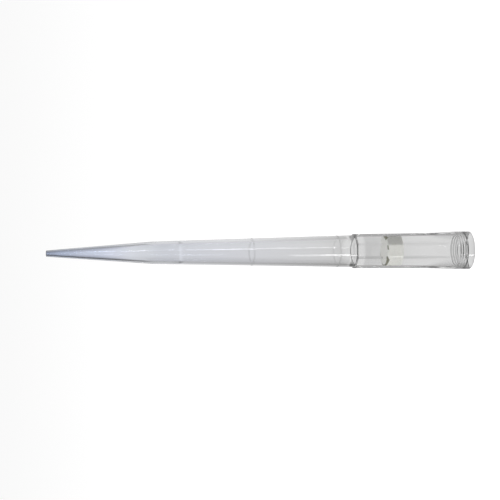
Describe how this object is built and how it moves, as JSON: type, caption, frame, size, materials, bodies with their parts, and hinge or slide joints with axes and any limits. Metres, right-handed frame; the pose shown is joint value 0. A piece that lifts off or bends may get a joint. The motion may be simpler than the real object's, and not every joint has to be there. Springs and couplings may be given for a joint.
{
  "type": "filter pipette tip",
  "caption": "Clear tapered extra-long pipette tip with a stepped collar, inner sealing rings, fine graduation rings and a porous white filter plug.",
  "frame": {"origin": "centre of the mouth's rim, which the tip stands on", "axes": "+Z along the tip's axis, from the mouth towards the orifice; X and Y are alike"},
  "size_m": [0.009, 0.009, 0.102],
  "materials": {
    "clear_plastic": "clear moulded polypropylene, smooth and very slightly hazy",
    "porous_filter": "sintered porous polyethylene, fine matt grain"
  },
  "bodies": {
    "root": {"tip_body": "clear_plastic", "filter_plug": "porous_filter"}
  },
  "joints": []
}
